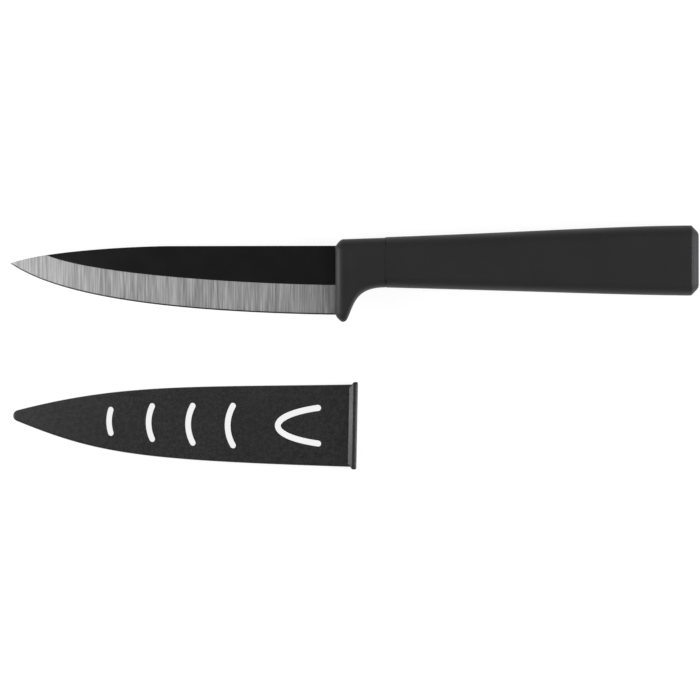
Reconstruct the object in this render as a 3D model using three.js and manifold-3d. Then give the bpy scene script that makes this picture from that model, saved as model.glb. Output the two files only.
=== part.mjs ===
// Small kitchen knife with a moulded handle, and its slip-on sheath lying beside it.
// Millimetres, +Z up. Knife and sheath lie on their sides on the plane z = 0, tips towards -X,
// spines towards +Y. The origin is the middle of the grip's flat underside.
//
// The knife is drawn in a heel frame: x = 0 at the front of the handle, y = 0 on the handle's
// long axis, z = 0 in the middle of the blade. The sheath is drawn in the same frame, as it sits
// when it is on the blade, with x = 0 at its mouth.
import * as THREE from "three";
import { mergeVertices } from "three/addons/utils/BufferGeometryUtils.js";
import Module from "manifold-3d";

const wasm = await Module();
wasm.setup();

// Blade
const BLADE_LENGTH = 100; // heel to tip
const BLADE_THICK = 1.5;
const SPINE_RISE = 5; // spine above the handle axis, at the heel
const SPINE_FALL = 0.1; // drop of the spine over its straight stretch
const SPINE_STRAIGHT = 50; // straight stretch of the spine, from the heel
const EDGE_DROP = 16.25; // cutting edge below the handle axis, at the heel
const EDGE_THICK = 0.25; // thickness left at the cutting edge
const TIP_DROP = 0.45; // tip below the handle axis
const TIP_BLUNT = 0.2; // height left at the very tip
const BEVEL_WIDTH = 9; // bare ground band, measured square to the edge
const BEVEL_HIGHEST = 0.8; // share of the blade's height that the band may take, near the tip
const HEEL_SEAT = 1; // how far the full-height blade sits inside the guard

// Directions of the blade's lines at their ends, in degrees against the handle axis, and how far
// each direction carries, as a share of the distance between the two ends
const SPINE_TIP = { angle: 20.3, pull: 0.23 };
const SPINE_BREAK = { angle: 0, pull: 0.207 };
const EDGE_TIP = { angle: 34.8, pull: 0.197 };
const EDGE_HEEL = { angle: 0.94, pull: 0.438 };

// Tang, hidden in the handle
const TANG_FRONT_HEIGHT = 9;
const TANG_REAR_HEIGHT = 6.5;
const TANG_HOLE_RADIUS = 2;
const TANG_HOLE_COUNT = 2;
const TANG_HOLE_PITCH = 28;
const TANG_HOLE_END = 14; // last hole to the end of the tang

// Guard, the front piece of the handle
const GUARD_LENGTH = 15.1; // heel to the seam with the grip
const GUARD_ABOVE_SPINE = 1.88; // top of the guard's front above the blade's spine
const GUARD_BELOW_EDGE = 2.22; // tip of the finger guard below the blade's edge
const GUARD_FACE_INSET = 2.57; // how far the front face stays inside the guard's outline
const GUARD_SLOPE_LENGTH = 2.27; // slope above and below, from the front face to the full outline
const GUARD_SIDE_INSET = 2; // how far the front face stays inside the guard's two sides
const GUARD_SIDE_LENGTH = 3.2; // slope of the sides, from the front face to the full thickness
const GUARD_TIP_RADIUS = 1.5; // rounding of the finger guard's lowest point
const GUARD_TIP_THICK = 9; // thickness at the finger guard's tip

// Directions of the guard's lines at their ends, as for the blade's lines: of its front slope, of
// the slope of its sides and of the hollow for the finger
const GUARD_FACE = { angle: 90, pull: 0.25 };
const GUARD_SLOPE = { angle: 0, pull: 0.1 };
const GUARD_SIDE_FACE = { angle: 90, pull: 0.2 };
const GUARD_SIDE_SLOPE = { angle: 0, pull: 0.55 };
const GUARD_HOLLOW_TIP = { angle: 62, pull: 0.29 };
const GUARD_HOLLOW_SEAM = { angle: 0, pull: 0.62 };

// Grip, the hollow main piece of the handle
const GRIP_LENGTH = 94.4;
const GRIP_FRONT_TOP = 7.6; // above the axis, at the seam
const GRIP_FRONT_BOTTOM = 7.85; // below the axis, at the seam
const GRIP_BUTT_TOP = 11.2; // above the axis, at the butt
const GRIP_BUTT_BOTTOM = 10.35; // below the axis, at the butt
const GRIP_BOW_TOP = 0.34; // how far the upper long edge bows outwards
const GRIP_BOW_BOTTOM = 0.17; // how far the lower long edge bows outwards
const GRIP_BOW_PLACE = 0.75; // share of the grip's length at which they bow most
const GRIP_WALL = 2;
const GRIP_PROUD = 0.2; // the grip stands this far proud of the guard
const GRIP_PROUD_BELOW = 0.03; // the same along the lower long edge
const GRIP_LIP_LENGTH = 1.2; // soft lip at the front of the grip
const GRIP_LIP_DEPTH = 0.3;
const GRIP_BUTT_ROUND = 0.35;
const HANDLE_THICK = 14;
const HANDLE_EDGE_RADIUS = 3.4; // rounding of the handle's long edges
const HANDLE_LEAST_RADIUS = 1.2; // rounding that the smaller sections of the handle keep at least

// Butt cap
const CAP_PROUD = 1.72; // length of the cap that shows behind the grip
const CAP_SEAM_INSET = 0.33; // how far the cap starts inside the grip's outline
const CAP_FACE_INSET = 2.8; // how far its end face stays inside that outline

// Directions of the cap's sloping side at the seam and at the end face, as for the blade's lines
const CAP_SEAM = { angle: 50, pull: 0.4 };
const CAP_FACE = { angle: 90, pull: 0.25 };

// Fits inside the handle
const SPIGOT_LENGTH = 6; // of the guard and of the cap, inside the grip
const CORE_BEHIND_TANG = 26; // core left solid behind the end of the tang
const FIT_GAP = 0.3; // between pieces that sit inside each other
const SEAM_GAP = 0.2; // between pieces that meet end to end

// Sheath
const POCKET_SIDE_GAP = 0.45; // between blade and face wall, each side
const POCKET_SPINE_GAP = 1.65; // between spine and pocket, at the mouth
const POCKET_EDGE_GAP = 0.4; // between edge and pocket, at the mouth
const POCKET_TIP_ROOM = 4.3; // blade tip to the centre of the pocket's round end
const POCKET_TIP_RADIUS = 0.65;
const SHEATH_TIP_DROP = 1.45; // centre of the round end below the blade tip
const FACE_WALL = 1.2;
const EDGE_WALL = 1.1;
const SHEATH_EDGE_ROUND = 0.7; // rounding of the outer long edges
const MOUTH_LEAN = 1.1; // degrees, mouth off square
const RIM_LENGTH = 2.6; // collar round the mouth
const RIM_CHAMFER = 1.3;
const RIM_PROUD = 0.9;
const RIM_ROUND = 0.3;
const WALL_SPLIT = 0.1; // hairline between the face walls and the band that joins them

// Directions of the sheath's long sides at their ends, as for the blade's lines
const SPINE_SIDE_MOUTH = { angle: 1, pull: 0.486 };
const SPINE_SIDE_END = { angle: 14.6, pull: 0.317 };
const EDGE_SIDE_MOUTH = { angle: 1.8, pull: 0.633 };
const EDGE_SIDE_END = { angle: 22.2, pull: 0.26 };

// Spring tongues and vent slots, cut through both faces of the sheath
const SLOT_WIDTH = 1.9;
const TONGUE_ROOT = 11.8; // mouth to the root of the spring tongue
const TONGUE_REACH = 12.4; // root to the middle of the slot round its free end
const TONGUE_SPREAD = 11.2; // distance between the two arms of that slot, at the root
const TONGUE_ARM_ANGLE = 8.5; // degrees, how much the arms splay at the root
const TONGUE_HINGE_GAP = 0.3; // opening at the root, where the real tongue bends
const NIB_HEIGHT = 0.5; // ridge on the tongue that presses on the blade
const NIB_LENGTH = 3;
const NIB_INSET = 3; // ridge to the free end of the tongue
const VENT_AFTER_TONGUE = 15.6; // middle of the tongue's slot to the first vent
const VENT_PITCH = 12.15;
const VENT_BEFORE_END = 26; // no vent comes nearer to the round end
const VENT_BOW_RADIUS = 12.5; // curvature of the first vent
const VENT_BOW_GROWTH = 1.2; // added to that radius for each vent after it
const VENT_SPINE_MARGIN = 4.35; // vent to the spine side of the sheath
const VENT_EDGE_MARGIN = 4.2; // vent to the edge side of the sheath
const VENT_LONGEST = 14.1;

// Where the sheath lies beside the knife
const SHEATH_MOUTH_AHEAD = 6.7; // mouth past the heel, towards the butt
const SHEATH_LANE = 45.45; // sheath frame below the knife frame, along -Y

// Fineness of curves
const CORNER_STEPS = 6; // on a rounded corner
const ROUND_STEPS = 3; // on a rounded end
const RUN_STEPS = 6; // along the handle
const CURVE_STEPS = 18; // along a curved outline
const BLADE_STEPS = 28;
const SAME_POINT = 1e-4; // points nearer than this are one point
const FULLEST_ROUND = 0.9; // share of a section's half-width that its corners may take

// Finishes
function finish(color, roughness, metalness) {
  return new THREE.MeshStandardMaterial({ color, roughness, metalness });
}
const COATED_STEEL = finish(0x1c1c1c, 0.4, 0.3);
const GUARD_BLACK = finish(0x2f2f2f, 0.6, 0);
const GRIP_BLACK = finish(0x2f2f2f, 0.7, 0);
const CORE_GREY = finish(0x4a4a4a, 0.6, 0);
const SHEATH_BLACK = finish(0x323232, 0.6, 0);

const { clamp, degToRad, lerp } = THREE.MathUtils;
const FAR = 2 * (BLADE_LENGTH + GRIP_LENGTH); // past everything, for cutting solids

// Solids

// A closed geometry as a solid that can be cut and joined.
function solidOf(geometry) {
  const bare = new THREE.BufferGeometry();
  bare.setAttribute("position", geometry.getAttribute("position"));
  bare.setIndex(geometry.index);
  const merged = mergeVertices(bare, SAME_POINT);
  const mesh = new wasm.Mesh({
    numProp: 3,
    vertProperties: merged.getAttribute("position").array,
    triVerts: new Uint32Array(merged.index.array),
  });
  return new wasm.Manifold(mesh);
}

// A named piece of the object.
function piece(name, solid, material) {
  const { vertProperties, triVerts } = solid.getMesh();
  const shared = new THREE.BufferGeometry();
  shared.setAttribute("position", new THREE.BufferAttribute(vertProperties, 3));
  shared.setIndex(new THREE.BufferAttribute(triVerts, 1));
  const geometry = shared.toNonIndexed();
  geometry.computeVertexNormals();
  const mesh = new THREE.Mesh(geometry, material);
  mesh.name = name;
  return mesh;
}

// Numbers from 0 to 1 in equal steps.
function shares(steps) {
  return Array.from({ length: steps + 1 }, (_, i) => i / steps);
}

// Solid through rings of points, which run counter-clockwise about +X and step along +X.
function loft(rings) {
  const count = rings[0].length;
  const points = rings.flat();
  const index = [];
  const cap = (ring, first, forwards) => {
    const middle = ring.reduce((sum, point) => sum.add(point), new THREE.Vector3()).divideScalar(count);
    const centre = points.push(middle) - 1;
    for (let j = 0; j < count; j++) {
      const here = first + j;
      const next = first + ((j + 1) % count);
      index.push(centre, forwards ? here : next, forwards ? next : here);
    }
  };
  for (let i = 0; i + 1 < rings.length; i++) {
    for (let j = 0; j < count; j++) {
      const here = i * count + j;
      const next = i * count + ((j + 1) % count);
      index.push(here, next, here + count, next, next + count, here + count);
    }
  }
  cap(rings[0], 0, false);
  cap(rings.at(-1), (rings.length - 1) * count, true);
  return solidOf(new THREE.BufferGeometry().setFromPoints(points).setIndex(index));
}

// Flat shape in x and y, pulled from one height to another.
function prism(shape, low, high) {
  const pull = { depth: high - low, bevelEnabled: false, curveSegments: CURVE_STEPS };
  return solidOf(new THREE.ExtrudeGeometry(shape, pull).translate(0, 0, low));
}

function box(low, high) {
  const size = new THREE.Vector3().subVectors(high, low);
  const middle = new THREE.Vector3().addVectors(low, high).divideScalar(2);
  return solidOf(new THREE.BoxGeometry(...size).translate(...middle));
}

// Everything between two values of x, or of z.
const betweenX = (low, high) => box(new THREE.Vector3(low, -FAR, -FAR), new THREE.Vector3(high, FAR, FAR));
const betweenZ = (low, high) => box(new THREE.Vector3(-FAR, -FAR, low), new THREE.Vector3(FAR, FAR, high));

// Lines and sections

// Point a distance away from another, in a direction given in degrees.
function away(from, degrees, distance) {
  const turn = degToRad(degrees);
  return new THREE.Vector2(from.x + distance * Math.cos(turn), from.y + distance * Math.sin(turn));
}

// Smooth line that leaves each of its ends in a direction of its own. The pull says how far that
// direction carries, as a share of the distance between the ends.
function bend(start, startAngle, startPull, end, endAngle, endPull) {
  const span = start.distanceTo(end);
  const first = away(start, startAngle, startPull * span);
  const second = away(end, endAngle, endPull * span);
  return new THREE.CubicBezierCurve(start, first, second, end);
}

// Height at a given x of a line that runs along x.
function heightAt(line, x) {
  const rising = line.getPoint(1).x > line.getPoint(0).x;
  const halvings = 40;
  let low = 0;
  let high = 1;
  for (let i = 0; i < halvings; i++) {
    const middle = (low + high) / 2;
    if (line.getPoint(middle).x < x === rising) low = middle;
    else high = middle;
  }
  return line.getPoint(low).y;
}

// Four-cornered section at x with rounded corners, whose top and bottom have half-widths of their own.
function section(x, { top, bottom, topHalf, bottomHalf, radius }) {
  const corners = [
    { at: new THREE.Vector2(top, -topHalf), half: topHalf },
    { at: new THREE.Vector2(top, topHalf), half: topHalf },
    { at: new THREE.Vector2(bottom, bottomHalf), half: bottomHalf },
    { at: new THREE.Vector2(bottom, -bottomHalf), half: bottomHalf },
  ];
  return corners.flatMap(({ at, half }, i) => {
    const before = corners[(i + 3) % 4].at.clone().sub(at).normalize();
    const after = corners[(i + 1) % 4].at.clone().sub(at).normalize();
    const opening = before.angleTo(after);
    const inwards = before.add(after).normalize();
    const round = Math.min(radius, FULLEST_ROUND * half);
    const centre = at.clone().addScaledVector(inwards, round / Math.sin(opening / 2));
    return shares(CORNER_STEPS).map((share) => {
      const turn = (Math.PI - opening) * (share - 0.5);
      const arm = inwards.clone().rotateAround(new THREE.Vector2(), turn).multiplyScalar(-round);
      return new THREE.Vector3(x, centre.x + arm.x, centre.y + arm.y);
    });
  });
}

// Steps round a quarter circle or ellipse: how far from the end, and how far in from the full size.
function quarterRound(length, depth = length) {
  return shares(ROUND_STEPS).map((share) => {
    const turn = (share * Math.PI) / 2;
    return { along: length * (1 - Math.cos(turn)), inset: depth * (1 - Math.sin(turn)) };
  });
}

// Places along the handle

const gripStart = GUARD_LENGTH + SEAM_GAP;
const gripEnd = gripStart + GRIP_LENGTH;
const gripMiddle = (gripStart + gripEnd) / 2;
const capStart = gripEnd + SEAM_GAP;
const capEnd = capStart + CAP_PROUD;
const coreStart = GUARD_LENGTH + SPIGOT_LENGTH + SEAM_GAP;
const coreEnd = capStart - SPIGOT_LENGTH - SEAM_GAP;
const tangEnd = coreEnd - CORE_BEHIND_TANG;
const spigotInset = GRIP_WALL + FIT_GAP;

// Blade and tang

const bladeTip = new THREE.Vector2(-BLADE_LENGTH, -TIP_DROP);
const edgeHeel = new THREE.Vector2(0, -EDGE_DROP);
const spineBreak = new THREE.Vector2(-SPINE_STRAIGHT, SPINE_RISE - SPINE_FALL);

const edgeLine = bend(
  edgeHeel, 180 - EDGE_HEEL.angle, EDGE_HEEL.pull,
  bladeTip, -EDGE_TIP.angle, EDGE_TIP.pull,
);
const spineLine = bend(
  spineBreak, 180 - SPINE_BREAK.angle, SPINE_BREAK.pull,
  bladeTip, SPINE_TIP.angle, SPINE_TIP.pull,
);

function spineHeight(x) {
  if (x > spineBreak.x) return lerp(SPINE_RISE, spineBreak.y, x / spineBreak.x);
  return heightAt(spineLine, x);
}

// Section of the blade at a share of its edge: flat above the bevel, tapering below it to the edge.
function bladeSection(share, x = edgeLine.getPoint(share).x) {
  const edge = edgeLine.getPoint(share);
  const bevelRise = BEVEL_WIDTH / Math.abs(edgeLine.getTangent(share).x);
  const spine = Math.max(spineHeight(edge.x), edge.y + TIP_BLUNT);
  const bevel = edge.y + Math.min(bevelRise, BEVEL_HIGHEST * (spine - edge.y));
  const halfAt = (y) => lerp(EDGE_THICK, BLADE_THICK, Math.min((y - edge.y) / bevelRise, 1)) / 2;
  const upwards = [edge.y, bevel, spine];
  return [
    ...upwards.map((y) => new THREE.Vector3(x, y, -halfAt(y))),
    ...upwards.toReversed().map((y) => new THREE.Vector3(x, y, halfAt(y))),
  ];
}

// Outline of the tang, grown all round by a gap.
function tangShape(gap) {
  const front = TANG_FRONT_HEIGHT / 2 + gap;
  const rear = TANG_REAR_HEIGHT / 2 + gap;
  const round = rear / 2;
  const end = tangEnd + gap;
  const shape = new THREE.Shape();
  shape.moveTo(0, -front);
  shape.lineTo(end - round, -rear);
  shape.quadraticCurveTo(end, -rear, end, -rear + round);
  shape.lineTo(end, rear - round);
  shape.quadraticCurveTo(end, rear, end - round, rear);
  shape.lineTo(0, front);
  return shape;
}

// Round bars across the tang and its room, one at each of its holes.
function holeBars(radius) {
  const length = BLADE_THICK + 4 * FIT_GAP;
  return Array.from({ length: TANG_HOLE_COUNT }, (_, i) => {
    const x = tangEnd - TANG_HOLE_END - i * TANG_HOLE_PITCH;
    const bar = new THREE.CylinderGeometry(radius, radius, length, 4 * CORNER_STEPS);
    return solidOf(bar.rotateX(Math.PI / 2).translate(x, 0, 0));
  });
}

function makeBlade() {
  const rings = shares(BLADE_STEPS).map((share) => bladeSection(share)).reverse();
  const tang = prism(tangShape(0), -BLADE_THICK / 2, BLADE_THICK / 2);
  const whole = loft([...rings, bladeSection(0, HEEL_SEAT)]).add(tang);
  return holeBars(TANG_HOLE_RADIUS).reduce((left, hole) => left.subtract(hole), whole);
}

// Room for the blade's heel and for the tang in the guard and the core.
function tangRoom() {
  const half = BLADE_THICK / 2 + FIT_GAP;
  const heel = box(
    new THREE.Vector3(-HEEL_SEAT, -EDGE_DROP - FIT_GAP, -half),
    new THREE.Vector3(HEEL_SEAT + FIT_GAP, SPINE_RISE + FIT_GAP, half),
  );
  return prism(tangShape(FIT_GAP), -half, half).add(heel);
}

// Handle

// How much of its bow the grip has at a share of its length: none at the ends, all at one place.
function bowAt(share) {
  const power = GRIP_BOW_PLACE / (1 - GRIP_BOW_PLACE);
  const shape = (at) => at ** power * (1 - at);
  return shape(share) / shape(GRIP_BOW_PLACE);
}

// Section of the grip's outside at a place along it, shrunk all round by an inset.
function gripSection(x, inset, place = x) {
  const share = clamp((place - gripStart) / GRIP_LENGTH, 0, 1);
  const bow = bowAt(share);
  const half = HANDLE_THICK / 2 - inset;
  return section(x, {
    top: lerp(GRIP_FRONT_TOP, GRIP_BUTT_TOP, share) + bow * GRIP_BOW_TOP - inset,
    bottom: -lerp(GRIP_FRONT_BOTTOM, GRIP_BUTT_BOTTOM, share) - bow * GRIP_BOW_BOTTOM + inset,
    topHalf: half,
    bottomHalf: half,
    radius: Math.max(HANDLE_EDGE_RADIUS - inset, HANDLE_LEAST_RADIUS),
  });
}

// Rings along a plain stretch of the grip's shape, for its bore, the spigots and the core.
function gripRun(from, to, inset) {
  return shares(RUN_STEPS).map((share) => gripSection(lerp(from, to, share), inset));
}

function makeGrip() {
  const lip = quarterRound(GRIP_LIP_LENGTH, GRIP_LIP_DEPTH);
  const front = lip.map(({ along, inset }) => gripSection(gripStart + along, inset));
  const buttRound = quarterRound(GRIP_BUTT_ROUND);
  const butt = buttRound.map(({ along, inset }) => gripSection(gripEnd - along, inset));
  const run = gripRun(gripStart + GRIP_LIP_LENGTH, gripEnd - GRIP_BUTT_ROUND, 0).slice(1, -1);
  const bore = gripRun(gripStart - SEAM_GAP, gripEnd + SEAM_GAP, GRIP_WALL);
  return loft([...front, ...run, ...butt.reverse()]).subtract(loft(bore));
}

const guardSeamTop = GRIP_FRONT_TOP - GRIP_PROUD;
const guardSeamBottom = -(GRIP_FRONT_BOTTOM - GRIP_PROUD_BELOW);
const guardTip = new THREE.Vector2(GUARD_SLOPE_LENGTH, -EDGE_DROP - GUARD_BELOW_EDGE);

// How far the guard's front stays inside its full outline above and below, against x.
const guardSlope = bend(
  new THREE.Vector2(0, GUARD_FACE_INSET), -GUARD_FACE.angle, GUARD_FACE.pull,
  new THREE.Vector2(GUARD_SLOPE_LENGTH, 0), 180 - GUARD_SLOPE.angle, GUARD_SLOPE.pull,
);

// How far its sides stay inside their full thickness, against x.
const guardSideSlope = bend(
  new THREE.Vector2(0, GUARD_SIDE_INSET), -GUARD_SIDE_FACE.angle, GUARD_SIDE_FACE.pull,
  new THREE.Vector2(GUARD_SIDE_LENGTH, 0), 180 - GUARD_SIDE_SLOPE.angle, GUARD_SIDE_SLOPE.pull,
);

// Line under the guard: round the tip of the finger guard, then up the hollow for the finger.
function guardUnderside() {
  const tipCentre = away(guardTip, 90, GUARD_TIP_RADIUS);
  const tip = shares(CORNER_STEPS).map((share) =>
    away(tipCentre, share * GUARD_HOLLOW_TIP.angle - 90, GUARD_TIP_RADIUS),
  );
  const hollow = bend(
    tip.at(-1), GUARD_HOLLOW_TIP.angle, GUARD_HOLLOW_TIP.pull,
    new THREE.Vector2(GUARD_LENGTH, guardSeamBottom), 180 - GUARD_HOLLOW_SEAM.angle, GUARD_HOLLOW_SEAM.pull,
  );
  return [...tip, ...hollow.getPoints(CURVE_STEPS).slice(1)];
}

// Section of the guard at x: as thick as the handle at the top, and thinner as the finger guard goes down.
function guardSection(x, bottom, inset) {
  const half = HANDLE_THICK / 2 - GRIP_PROUD;
  const depth = (guardSeamBottom - bottom) / (guardSeamBottom - guardTip.y);
  const sideInset = x < GUARD_SIDE_LENGTH ? heightAt(guardSideSlope, x) : 0;
  return section(x, {
    top: lerp(SPINE_RISE + GUARD_ABOVE_SPINE, guardSeamTop, x / GUARD_LENGTH) - inset,
    bottom: bottom + inset,
    topHalf: half - sideInset,
    bottomHalf: lerp(half, GUARD_TIP_THICK / 2, depth) - sideInset,
    radius: Math.max(HANDLE_EDGE_RADIUS - GRIP_PROUD - inset, HANDLE_LEAST_RADIUS),
  });
}

// The front slope ends where the line under the guard starts.
function makeGuard() {
  const slope = guardSlope.getPoints(2 * CORNER_STEPS);
  const front = slope.map(({ x, y: inset }) => guardSection(x, guardTip.y, inset));
  const rest = guardUnderside().slice(1).map((point) => guardSection(point.x, point.y, 0));
  const spigot = gripRun(GUARD_LENGTH - SPIGOT_LENGTH, GUARD_LENGTH + SPIGOT_LENGTH, spigotInset);
  return loft([...front, ...rest]).add(loft(spigot)).subtract(tangRoom());
}

function makeCore() {
  const hollowed = loft(gripRun(coreStart, coreEnd, spigotInset)).subtract(tangRoom());
  return holeBars(TANG_HOLE_RADIUS - FIT_GAP).reduce((core, peg) => core.add(peg), hollowed);
}

function makeCap() {
  const seam = new THREE.Vector2(capStart, CAP_SEAM_INSET);
  const face = new THREE.Vector2(capEnd, CAP_FACE_INSET);
  const side = bend(seam, CAP_SEAM.angle, CAP_SEAM.pull, face, -CAP_FACE.angle, CAP_FACE.pull);
  const shown = side.getPoints(CORNER_STEPS).map(({ x, y: inset }) => gripSection(x, inset, gripEnd));
  const spigot = gripRun(capStart - SPIGOT_LENGTH, capStart, spigotInset);
  return loft(shown).add(loft(spigot));
}

// Sheath

const pocketHalf = BLADE_THICK / 2 + POCKET_SIDE_GAP;
const sheathHalf = pocketHalf + FACE_WALL;
const rimHalf = sheathHalf + RIM_PROUD;
const pocketTop = SPINE_RISE + POCKET_SPINE_GAP;
const pocketBottom = -EDGE_DROP - POCKET_EDGE_GAP;
const sheathMiddle = (pocketTop + pocketBottom) / 2;
const roundEnd = new THREE.Vector2(-BLADE_LENGTH - POCKET_TIP_ROOM, -TIP_DROP - SHEATH_TIP_DROP);

// How far the mouth runs forward at a height, because it is a little off square.
const mouthShift = (y) => (y - sheathMiddle) * Math.tan(degToRad(MOUTH_LEAN));

// Spine-side and edge-side lines of the pocket, moved outwards by a wall.
function sheathLines(wall) {
  const radius = POCKET_TIP_RADIUS + wall;
  const spine = bend(
    new THREE.Vector2(0, pocketTop + wall), 180 + SPINE_SIDE_MOUTH.angle, SPINE_SIDE_MOUTH.pull,
    away(roundEnd, 90 + SPINE_SIDE_END.angle, radius), SPINE_SIDE_END.angle, SPINE_SIDE_END.pull,
  );
  const edge = bend(
    away(roundEnd, -90 - EDGE_SIDE_END.angle, radius), -EDGE_SIDE_END.angle, EDGE_SIDE_END.pull,
    new THREE.Vector2(0, pocketBottom - wall), 180 - EDGE_SIDE_MOUTH.angle, EDGE_SIDE_MOUTH.pull,
  );
  return { spine, edge, radius };
}

// Outline of the pocket, moved outwards by a wall and run past the mouth by the collar's length.
function sheathShape(wall) {
  const { spine, edge, radius } = sheathLines(wall);
  const endStart = degToRad(90 + SPINE_SIDE_END.angle);
  const endStop = degToRad(270 - EDGE_SIDE_END.angle);
  const shape = new THREE.Shape();
  shape.moveTo(RIM_LENGTH, spine.v0.y);
  shape.lineTo(spine.v0.x, spine.v0.y);
  shape.bezierCurveTo(...spine.v1, ...spine.v2, ...spine.v3);
  shape.absarc(roundEnd.x, roundEnd.y, radius, endStart, endStop);
  shape.bezierCurveTo(...edge.v1, ...edge.v2, ...edge.v3);
  shape.lineTo(RIM_LENGTH, edge.v3.y);
  return shape;
}

// Outside of the sheath with rounded long edges, cut off at the mouth, without its collar.
function sheathBody() {
  const geometry = new THREE.ExtrudeGeometry(sheathShape(EDGE_WALL - SHEATH_EDGE_ROUND), {
    depth: 2 * (sheathHalf - SHEATH_EDGE_ROUND),
    bevelThickness: SHEATH_EDGE_ROUND,
    bevelSize: SHEATH_EDGE_ROUND,
    bevelSegments: ROUND_STEPS,
    curveSegments: CURVE_STEPS,
  });
  const mouth = new THREE.Shape();
  mouth.moveTo(-FAR, -FAR);
  mouth.lineTo(mouthShift(-FAR), -FAR);
  mouth.lineTo(mouthShift(FAR), FAR);
  mouth.lineTo(-FAR, FAR);
  const uncut = solidOf(geometry.translate(0, 0, SHEATH_EDGE_ROUND - sheathHalf));
  return uncut.intersect(prism(mouth, -FAR, FAR));
}

// Collar round the mouth: a chamfer that rises out of the walls, then a flat band with a rounded end.
function rim() {
  const { spine, edge } = sheathLines(EDGE_WALL);
  const ring = (x, proud) => {
    const half = sheathHalf + proud;
    const top = heightAt(spine, x) + proud;
    const bottom = heightAt(edge, x) - proud;
    const square = section(x, { top, bottom, topHalf: half, bottomHalf: half, radius: SHEATH_EDGE_ROUND });
    return square.map((point) => point.setX(point.x + mouthShift(point.y)));
  };
  const buried = EDGE_WALL / 2;
  const chamferStart = -RIM_LENGTH - (RIM_CHAMFER * buried) / RIM_PROUD;
  const end = quarterRound(RIM_ROUND).map(({ along, inset }) => ring(-along, RIM_PROUD - inset));
  return loft([ring(chamferStart, -buried), ring(RIM_CHAMFER - RIM_LENGTH, RIM_PROUD), ...end.reverse()]);
}

// Outline of a slot along a centre line, with round ends.
function slotShape(line) {
  const half = SLOT_WIDTH / 2;
  const directionAt = (share) => THREE.MathUtils.radToDeg(line.getTangent(share).angle());
  const side = (turn) =>
    shares(CURVE_STEPS).map((share) => away(line.getPoint(share), directionAt(share) + turn, half));
  const end = (share, turn) =>
    shares(CORNER_STEPS)
      .slice(1, -1)
      .map((step) => away(line.getPoint(share), directionAt(share) + turn - 180 * step, half));
  return new THREE.Shape([...side(90), ...end(1, 90), ...side(-90).reverse(), ...end(0, -90)]);
}

// Middle of the slot that frees the spring tongue on three sides. A cubic line reaches three
// quarters of the way to its handles.
function tongueLine() {
  const armEnd = TONGUE_SPREAD / 2;
  const handleReach = (TONGUE_REACH * 4) / 3;
  const handleHalf = armEnd - handleReach * Math.tan(degToRad(TONGUE_ARM_ANGLE));
  return new THREE.CubicBezierCurve(
    new THREE.Vector2(-TONGUE_ROOT, sheathMiddle + armEnd),
    new THREE.Vector2(-TONGUE_ROOT - handleReach, sheathMiddle + handleHalf),
    new THREE.Vector2(-TONGUE_ROOT - handleReach, sheathMiddle - handleHalf),
    new THREE.Vector2(-TONGUE_ROOT, sheathMiddle - armEnd),
  );
}

// Middle lines of the curved vents, as many as there is room for, shorter where the sheath narrows.
function ventLines() {
  const { spine, edge } = sheathLines(EDGE_WALL);
  const first = TONGUE_ROOT + TONGUE_REACH + VENT_AFTER_TONGUE;
  const last = -roundEnd.x - VENT_BEFORE_END;
  const count = Math.floor((last - first) / VENT_PITCH) + 1;
  return Array.from({ length: count }, (_, i) => {
    const x = -first - i * VENT_PITCH;
    const bottom = heightAt(edge, x) + VENT_EDGE_MARGIN;
    const top = Math.min(heightAt(spine, x) - VENT_SPINE_MARGIN, bottom + VENT_LONGEST);
    const radius = VENT_BOW_RADIUS + i * VENT_BOW_GROWTH;
    const spread = Math.asin((top - bottom - SLOT_WIDTH) / 2 / radius);
    return new THREE.ArcCurve(x + radius, (top + bottom) / 2, radius, Math.PI - spread, Math.PI + spread);
  });
}

// Low ridge on the inside of a tongue, near its free end. The side is 1 for the front, -1 for the back.
function nib(side) {
  const radius = NIB_HEIGHT + WALL_SPLIT;
  const ridge = new THREE.CylinderGeometry(radius, radius, NIB_LENGTH, 2 * CORNER_STEPS);
  const x = NIB_INSET + SLOT_WIDTH / 2 - TONGUE_ROOT - TONGUE_REACH;
  return solidOf(ridge.translate(x, sheathMiddle, side * (pocketHalf + WALL_SPLIT)));
}

// The sheath is one moulding. It is parted by hairlines into two face walls and the band between
// them, and at the roots of its spring tongues.
function makeSheath() {
  const outside = sheathBody().add(rim());
  const through = (shape) => prism(shape, -FAR, FAR);
  const vents = ventLines().map((line) => through(slotShape(line)));
  const tongueSlot = through(slotShape(tongueLine()));
  const tongueArea = through(new THREE.Shape(tongueLine().getPoints(CURVE_STEPS)));
  const pastRoot = betweenX(-TONGUE_ROOT - TONGUE_HINGE_GAP, FAR);

  const band = outside.subtract(through(sheathShape(0))).intersect(betweenZ(-pocketHalf, pocketHalf));
  const front = outside.intersect(betweenZ(pocketHalf + WALL_SPLIT, FAR));
  const back = outside.intersect(betweenZ(-FAR, -pocketHalf - WALL_SPLIT));
  const openings = [...vents, tongueSlot, tongueArea];
  const pierced = (wall) => openings.reduce((left, opening) => left.subtract(opening), wall);
  const tongue = (wall, side) => {
    const freed = wall.intersect(tongueArea).subtract(tongueSlot).subtract(pastRoot);
    return freed.add(nib(side));
  };
  return [
    piece("sheath_front_wall", pierced(front), SHEATH_BLACK),
    piece("sheath_back_wall", pierced(back), SHEATH_BLACK),
    piece("sheath_edge_band", band, SHEATH_BLACK),
    piece("sheath_front_tongue", tongue(front, 1), SHEATH_BLACK),
    piece("sheath_back_tongue", tongue(back, -1), SHEATH_BLACK),
  ];
}

// Assembly

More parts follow.
